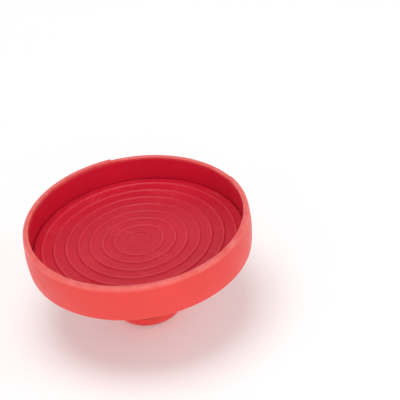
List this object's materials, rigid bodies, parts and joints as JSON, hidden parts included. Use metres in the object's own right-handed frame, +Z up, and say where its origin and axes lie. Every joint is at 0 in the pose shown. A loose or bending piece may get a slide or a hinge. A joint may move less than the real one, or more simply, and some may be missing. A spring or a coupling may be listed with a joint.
{
  "type": "patty press",
  "caption": "Round hand press for burger patties: a shallow mould cup with a sprung press plate, pushed out by a palm knob under the cup.",
  "frame": {"origin": "centre of the foot ring's lower face, on the axis of the cup and knob", "axes": "+Z up along the cup's axis, out of its mouth; the low stretch of the rim lies between +X and +Y"},
  "size_m": [0.1212, 0.1212, 0.061],
  "materials": {
    "coral_plastic": "satin moulded",
    "plate_plastic": "satin moulded, fine scratches",
    "knob_plastic": "soft gloss moulded",
    "soft_rubber": "matte, fine ribs",
    "foot_rubber": "matte",
    "seal_silicone": "matte, slightly translucent",
    "nylon": "matt moulded",
    "steel": "bright drawn",
    "brass": "turned"
  },
  "bodies": {
    "mould": {"mould_cup": "coral_plastic", "spring_housing": "coral_plastic", "housing_screws": "steel", "guide_bush": "nylon", "stem_o_ring": "foot_rubber", "return_spring": "steel", "upper_washer": "steel"},
    "plunger": {"press_plate": "plate_plastic", "plate_seal": "seal_silicone", "plate_screw": "steel", "screw_plug": "plate_plastic", "plunger_stem": "nylon", "upper_insert": "brass", "lower_insert": "brass", "lower_washer": "steel", "knob_body": "knob_plastic", "grip_band": "soft_rubber", "knob_screw": "steel", "knob_cap": "knob_plastic", "foot_ring": "foot_rubber"}
  },
  "joints": [
    {"name": "plunger_slide", "type": "slide", "parent": "mould", "child": "plunger", "axis": [0, 0, 1], "range_m": [0, 0.015], "stiffness_N_per_m": 330, "springref_m": -0.018, "deforming": ["return_spring"]}
  ]
}
